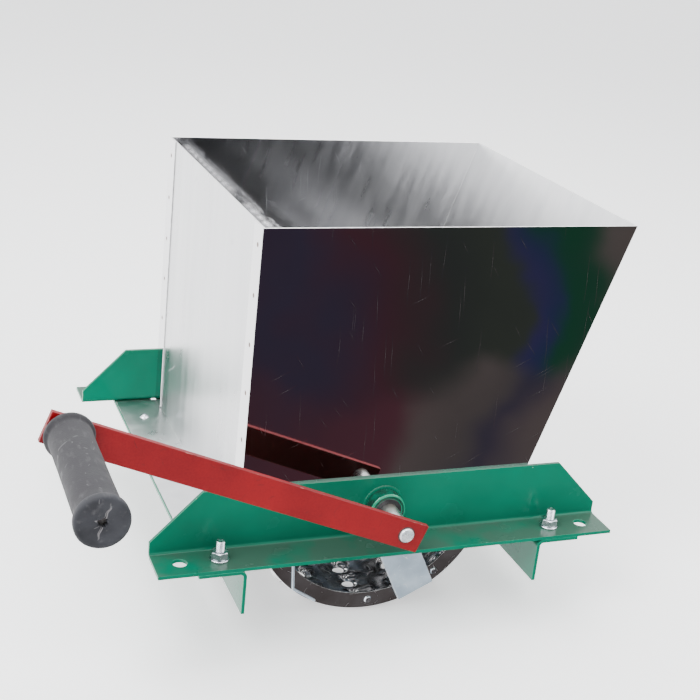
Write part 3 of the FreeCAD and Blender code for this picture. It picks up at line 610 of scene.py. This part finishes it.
rolled = Finish("rolled_stainless", Metallic=1.0)
dulled = rolled.clouds(0.03, 0.4, 0.7, detail=6.0)
scored = rolled.maths("MULTIPLY", rolled.hairlines(0.02, 0.2 * mm, 0.5), 0.3)
rolled.set(
    Base_Color=rolled.blend(dulled, (0.50, 0.50, 0.51), (0.34, 0.33, 0.32)),
    Roughness=rolled.maths("ADD", rolled.span(dulled, 0, 1, 0.1, 0.24), scored),
)
bmesh.ops.remove_doubles(drum, verts=drum.verts, dist=0.002 * mm)
bmesh.ops.recalc_face_normals(drum, faces=drum.faces)
tip = max(drum.faces, key=lambda face: (face.calc_center_median() - AXIS).xz.length)
if tip.normal.xz.dot((tip.calc_center_median() - AXIS).xz) < 0:
    bmesh.ops.reverse_faces(drum, faces=drum.faces)
for face in drum.faces:
    face.smooth = True
drum_mesh = bpy.data.meshes.new("drum_shell_punched")
drum.to_mesh(drum_mesh)
drum.free()
drum_mesh.materials.append(rolled.material)
drum_mesh.materials.append(sheared.material)
drum_piece = bpy.data.objects.new("drum_shell_punched", drum_mesh)
bpy.context.scene.collection.objects.link(drum_piece)
wall = drum_piece.modifiers.new("sheet_thickness", "SOLIDIFY")
wall.thickness = 0.9 * mm
wall.offset = -1
wall.material_offset_rim = 1
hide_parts("drum_shell", "drum_rims")
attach(drum_piece, bodies["drum_shell"])

for ring in ("front_end_ring", "back_end_ring"):
    eased(ring, 0.3 * mm, rolled, sheared, ring_shaped=True)
eased("drum_ties", 0.3 * mm, plate, plate_edge)
eased("drum_rivets", 0.35 * mm, zinc)


# Crank: a 25 x 5 mm flat bar, sheared at both ends and drilled, pushed over the shaft's end and peened there.
# Red enamel, satin and slightly rough, rubbed thin along the edges; the faces that look back towards the
# hopper are painted dark as shade.
red = Finish("red_enamel", Specular_IOR_Level=0.2)
grain = red.clouds(1.6 * mm, 0.3, 0.7, detail=6.0)
darker = red.clouds(0.045, 0.35, 0.7)
worn = red.hairlines(0.02, 0.25 * mm, 0.4)
coat = red.blend(darker, (0.175, 0.0, 0.003), (0.115, 0.0, 0.003))
coat = red.blend(red.maths("MULTIPLY", grain, 0.35), coat, (0.26, 0.006, 0.007))
# Painted shade: faces that look back (+Y), away from the light, are blended to a near-black red.
normal = red.node("ShaderNodeTexCoord", {}, "Normal")
back_face_shade = red.node("ShaderNodeSeparateXYZ", {"Vector": normal}, "Y")
coat = red.blend(red.span(back_face_shade, 0.4, 0.8), coat, (0.022, 0.001, 0.001))
red.set(
    Base_Color=red.blend(red.maths("MULTIPLY", worn, 0.5), coat, (0.06, 0.008, 0.008)),
    Roughness=red.span(grain, 0, 1, 0.38, 0.52),
)
red.relief(grain, 0.03 * mm, 0.6)
rubbed = Finish("red_enamel_rubbed", Specular_IOR_Level=0.3, Roughness=0.42)
bare = rubbed.clouds(5 * mm, 0.60, 0.68, detail=6.0)
rubbed.set(
    Base_Color=rubbed.blend(bare, (0.13, 0.001, 0.003), (0.30, 0.15, 0.13)),
    Metallic=rubbed.maths("MULTIPLY", bare, 0.7),
)
eased("crank_arm", 0.45 * mm, red, rubbed)


# Shaft end: the turned-down end stands 2.5 mm out of the arm, peened to a low dome.
# A flat dark ring round it is painted shade, standing in for the gap between shaft and arm.
# Painted shade: a near-black finish for the ring that stands in for the shadowed gap round the shaft end.
gap_shade = Finish("painted_gap_shade", Roughness=0.7)
gap_shade.set(Base_Color=gap_shade.blend(gap_shade.clouds(2 * mm), (0.012, 0.008, 0.007), (0.06, 0.03, 0.025)))
ARM_FACE = -208 * mm
peened = bmesh.new()
gap = bmesh.new()
face = Matrix.Translation(AXIS + Vector((0, ARM_FACE, 0))) @ Matrix.Rotation(math.pi / 2, 4, "X")
dome = [(6.0, 0), (6.3, 0.5), (6.2, 1.3), (5.6, 2.1), (3.4, 2.4), (0, 2.5)]
ring = [(6.0, 0.02), (6.2, 0.12), (7.1, 0.1), (7.5, -0.05)]
turned(peened, [(radius * mm, height * mm) for radius, height in dome], face)
turned(gap, [(radius * mm, height * mm) for radius, height in ring], face)
fit_piece("shaft_end_peened", peened, ["drive_shaft"], [plate_edge], hides=False)
fit_piece("shaft_end_gap", gap, ["crank_arm"], [gap_shade], hides=False)


# Handle pin: a shouldered 12 mm pin nutted behind the arm, with a washer in front and a peened end washer.
# A plastic sleeve turns on it inside the grip. Zinc-plated and bright steel.
nut = bmesh.new()
low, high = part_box("handle_nut")
middle = (low + high) / 2
behind = Matrix.Translation((middle.x, low.y, middle.z)) @ Matrix.Rotation(-math.pi / 2, 4, "X")
PIN_FLATS = 17 * mm
turned(nut, nut_profile(PIN_FLATS, 4.6 * mm, 0, 8 * mm), behind, flats=PIN_FLATS)
fit_piece("handle_nut_chamfered", nut, ["handle_nut"], [zinc])
pin_end = bmesh.new()
threaded(pin_end, 4.95 * mm, 1.5 * mm, 7.5 * mm, 9 * mm, behind)
fit_piece("handle_pin_thread", pin_end, ["handle_spindle"], [zinc], hides=False)
eased("handle_spindle", 0.3 * mm, bar)
for washer in ("handle_washer", "handle_end_washer"):
    eased(washer, 0.25 * mm, zinc)
eased("grip_sleeve", 0.3 * mm, plastic)


# Grip: a moulded rubber sleeve with a collar at each end, pushed on so hard that its closed end has split.
# Grey with dust and slightly lumpy; the hole in the cap is small and torn, with pale cracks running from it
# whose deep middles are painted dark as shade.
low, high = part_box("rubber_grip")
grip_axis = Vector(((low.x + high.x) / 2, 0, (low.z + high.z) / 2))
STEPS = 180                    # points round the grip
CAP_HOLE = 3.3                 # radius in mm of the hole in the cap
COLLAR = 18.45                 # radius in mm of the collars
near = high.y
far = low.y
profile = [
    (11.2, near - 3 * mm), (11.4, near - 0.3 * mm), (12.2, near), (17.2, near), (18.1, near - 0.5 * mm),
    (COLLAR, near - 1.4 * mm), (COLLAR, near - 3.3 * mm), (18.1, near - 4.4 * mm),
    (17.2, near - 5.3 * mm), (16.4, near - 6.0 * mm), (16.05, near - 7.5 * mm),
]
profile += [(15.95 - 0.25 * math.sin(math.pi * k / 12), near - 9 * mm - 110 * mm * k / 12) for k in range(13)]
profile += [
    (16.2, far + 9.4 * mm), (17.1, far + 8.4 * mm), (18.0, far + 7.6 * mm), (18.4, far + 6.6 * mm),
    (18.48, far + 4.5 * mm), (18.4, far + 2.2 * mm), (17.9, far + 1.0 * mm), (17.0, far + 0.35 * mm),
    (15.8, far + 0.12 * mm),
]
profile += [(14.4 - 1.05 * k, far + (0.1 + 0.05 * k) * mm) for k in range(10)]
profile += [
    (4.2, far + 0.5 * mm), (3.6, far + 1.1 * mm), (CAP_HOLE, far + 2.2 * mm), (CAP_HOLE, far + 4.5 * mm),
    (11.0, far + 4.5 * mm),
]
cracks = ((1.2, 15.0, 1.1), (-1.85, 12.5, 1.2), (2.7, 6.0, 0.7))    # direction, reach and depth in mm
grip = bmesh.new()
torn = grip.verts.layers.float.new("torn")
rings = []
for row, (radius, y) in enumerate(profile):
    ring = []
    on_cap = y < far + 1.2 * mm and radius < 16.5
    hole = radius < 5.3 and y < far + 4.6 * mm
    for step in range(STEPS):
        angle = math.tau * step / STEPS
        lumps = noise.noise(Vector((math.cos(angle) * 1.3, y * 38, math.sin(angle) * 1.3)))
        fine = noise.noise(Vector((math.cos(angle) * 7, y * 260, math.sin(angle) * 7)))
        reach = radius
        if radius > 12.5 and not on_cap:
            reach += 0.16 * lumps + 0.05 * fine
        sink = 0.0
        split = 0.0
        if hole:
            tear = noise.noise(Vector((math.cos(angle) * 2.6, 4.0, math.sin(angle) * 2.6)))
            pulled = 0.20 * abs(math.sin(1.5 * angle + 0.6))
            reach = radius * (0.74 + 0.38 * tear + pulled + 0.10 * fine)
        if on_cap:
            sink = 0.10 * lumps + 0.05 * fine
            for line, end, depth in cracks:
                bend = line + 0.06 * math.sin(radius * 0.9 + line)
                off = abs((angle - bend + math.pi) % math.tau - math.pi) * radius
                open_there = max(0.0, 1 - radius / end) ** 0.5
                sink += depth * open_there * max(0.0, 1 - off / (0.35 + 0.45 * open_there))
                split = max(split, open_there * max(0.0, 1 - off / (0.55 + 0.75 * open_there)))
        reach = min(reach, 18.5) * mm
        depth_y = max(y + sink * mm, far)
        offset = Vector((reach * math.cos(angle), depth_y, reach * math.sin(angle)))
        point = grip.verts.new(grip_axis + offset)
        point[torn] = split
        ring.append(point)
    rings.append(ring)
skin_over(grip, rings)

rubber = Finish("dusty_rubber", Specular_IOR_Level=0.2, Sheen_Weight=0.04, Sheen_Roughness=0.6)
dust = rubber.clouds(0.014, 0.3, 0.62, detail=6.0)
scuffs = rubber.clouds(4 * mm, 0.56, 0.72, rubber.place((1, 0.35, 1)), detail=8.0)
wiped = rubber.hairlines(0.02, 0.25 * mm, 0.3)
along = rubber.node("ShaderNodeSeparateXYZ", {"Vector": rubber.place()}, "Y")
black_end = rubber.span(along, far + 3 * mm, far + 13 * mm)
body_tone = rubber.blend(dust, (0.008, 0.008, 0.010), (0.022, 0.021, 0.024))
cap_tone = rubber.blend(dust, (0.010, 0.0105, 0.0135), (0.024, 0.025, 0.030))
skin = rubber.blend(black_end, cap_tone, body_tone)
skin = rubber.blend(rubber.maths("MULTIPLY", scuffs, 0.45), skin, (0.06, 0.058, 0.062))
crack_lips_and_shade = rubber.node("ShaderNodeAttribute", {}, "Fac", attribute_name="torn")
skin = rubber.blend(rubber.span(crack_lips_and_shade, 0.08, 0.35), skin, (0.13, 0.125, 0.13))
# Painted shade: the deep middle of each crack is blended to near black.
skin = rubber.blend(rubber.span(crack_lips_and_shade, 0.5, 0.8), skin, (0.006, 0.006, 0.007))
rubber.set(
    Base_Color=rubber.blend(rubber.maths("MULTIPLY", wiped, 0.4), skin, (0.16, 0.155, 0.16)),
    Roughness=rubber.span(dust, 0, 1, 0.55, 0.78),
)
rubber.relief(rubber.clouds(1.2 * mm, 0.3, 0.7, detail=8.0), 0.06 * mm, 0.7)
fit_piece("rubber_grip_moulded", grip, ["rubber_grip"], [rubber], smooth=60)


# Studio: a pale floor with nothing on it and broad soft lights from the left, the right and above.
# The floor takes no part in reflections, so the bright sheet mirrors the room round it instead: dim and
# patchy in front, bright on the left and above, and in bars of light behind.
floor_z = cad_bounds[0].z - 1 * mm
floor_mesh = bpy.data.meshes.new("floor")
corners = [(x, y, floor_z) for x, y in ((-9, -9), (9, -9), (9, 9), (-9, 9))]
floor_mesh.from_pydata(corners, [], [(0, 1, 2, 3)])
floor = bpy.data.objects.new("floor", floor_mesh)
bpy.context.scene.collection.objects.link(floor)
floor.visible_glossy = False
pale = Finish("pale_floor", Base_Color=(0.97, 0.97, 0.97), Roughness=0.9, Specular_IOR_Level=0.1)
pale.set(Emission_Color=(1.0, 1.0, 1.0), Emission_Strength=0.5)
floor_mesh.materials.append(pale.material)


def soft_light(name, place, aim, size, power):
    lamp = bpy.data.lights.new(name, "AREA")
    lamp.shape = "DISK"
    lamp.size = size
    lamp.energy = power
    light = bpy.data.objects.new(name, lamp)
    light.location = place
    light.rotation_euler = (Vector(aim) - Vector(place)).to_track_quat("-Z", "Y").to_euler()
    bpy.context.scene.collection.objects.link(light)


soft_light("left_light", (-1.6, -0.9, 1.9), (0, 0, 0.1), 1.4, 70)
soft_light("right_light", (1.9, -1.3, 1.5), (0, 0, 0.1), 1.6, 34)
soft_light("top_light", (0.2, 0.4, 2.4), (0, 0, 0.1), 1.8, 60)

room = bpy.data.worlds.new("studio_room")
bpy.context.scene.world = room
room.use_nodes = True
room.node_tree.nodes.clear()
walls = Patterns(room.node_tree)
direction = walls.node("ShaderNodeTexCoord", {}, "Generated")
warp = walls.node("ShaderNodeTexNoise", {"Vector": direction, "Scale": 4.5, "Detail": 5.0}, "Color")
warp = walls.vectors("MULTIPLY", warp, (0.34, 0.0, 0.34))
warp = walls.vectors("ADD", warp, (-0.17, 0.0, -0.17))
wavy = walls.vectors("ADD", direction, warp)
axes = walls.tree.nodes.new("ShaderNodeSeparateXYZ")
walls.feed(axes, "Vector", wavy)
ahead = walls.maths("MAXIMUM", walls.maths("MULTIPLY", axes.outputs["Y"], -1.0), 0.05)
across = walls.maths("DIVIDE", axes.outputs["X"], ahead)
upward = walls.maths("DIVIDE", axes.outputs["Z"], ahead)


def shades(value, stops):
    """Runs through (value, colour) stops."""
    ramp = walls.tree.nodes.new("ShaderNodeValToRGB")
    first = stops[0][0]
    last = stops[-1][0]
    walls.feed(ramp, "Fac", walls.span(value, first, last))
    while len(ramp.color_ramp.elements) < len(stops):
        ramp.color_ramp.elements.new(0.5)
    for element, (level, colour) in zip(ramp.color_ramp.elements, stops):
        element.position = (level - first) / (last - first)
        element.color = (*colour, 1)
    return ramp.outputs[0]


higher = shades(across, [
    (0.28, (0.056, 0.028, 0.042)), (0.36, (0.040, 0.032, 0.056)), (0.41, (0.066, 0.026, 0.036)),
    (0.46, (0.034, 0.038, 0.036)), (0.545, (0.040, 0.046, 0.038)), (0.56, (0.036, 0.032, 0.095)),
    (0.58, (0.026, 0.034, 0.085)), (0.592, (0.012, 0.062, 0.034)), (0.615, (0.016, 0.060, 0.036)),
    (0.64, (0.105, 0.088, 0.084)), (0.75, (0.120, 0.085, 0.075)),
])
lower = shades(across, [
    (0.30, (0.065, 0.030, 0.042)), (0.44, (0.090, 0.032, 0.044)), (0.47, (0.105, 0.084, 0.082)),
    (0.56, (0.085, 0.072, 0.070)), (0.58, (0.040, 0.034, 0.060)), (0.62, (0.110, 0.086, 0.084)),
])
dim = walls.blend(walls.span(upward, -0.42, -0.45), higher, lower)
dim = walls.blend(walls.span(upward, -0.54, -0.60), dim, (0.17, 0.155, 0.155))
bright = (3.7, 3.72, 3.78)
left_side = walls.span(axes.outputs["X"], -0.05, -0.5)
above = walls.span(axes.outputs["Z"], 0.02, 0.5)
behind = walls.span(axes.outputs["Y"], -0.15, 0.35)
backdrop = shades(axes.outputs["X"], [
    (-0.25, (4.0, 4.0, 4.02)), (-0.05, (3.4, 3.4, 3.45)), (0.10, (0.9, 0.92, 0.95)),
    (0.24, (0.30, 0.31, 0.33)), (0.36, (1.6, 1.6, 1.65)), (0.50, (0.45, 0.46, 0.50)),
    (0.70, (1.2, 1.2, 1.25)), (0.95, (0.5, 0.5, 0.52)),
])
seen = walls.blend(behind, dim, backdrop)
seen = walls.blend(above, seen, bright)
seen = walls.blend(left_side, seen, bright)
ray = walls.tree.nodes.new("ShaderNodeLightPath")
seen = walls.blend(ray.outputs["Is Camera Ray"], seen, (2.2, 2.2, 2.2))
seen = walls.blend(ray.outputs["Is Diffuse Ray"], seen, (1.25, 1.27, 1.30))
glow = walls.node("ShaderNodeBackground", {"Color": seen})
walls.feed(walls.tree.nodes.new("ShaderNodeOutputWorld"), "Surface", glow)

lens = bpy.data.cameras.new("camera")
lens.lens = 66.9
lens.clip_end = 50
camera = bpy.data.objects.new("camera", lens)
azimuth = math.radians(22.68)
elevation = math.radians(20.85)
roll = math.radians(6.01)
aim = Matrix.Rotation(-azimuth, 4, "Z") @ Matrix.Rotation(math.pi / 2 - elevation, 4, "X")
camera.matrix_world = Matrix.Translation((-0.4237, -1.0504, 0.5428)) @ aim @ Matrix.Rotation(roll, 4, "Z")
bpy.context.scene.collection.objects.link(camera)
bpy.context.scene.camera = camera
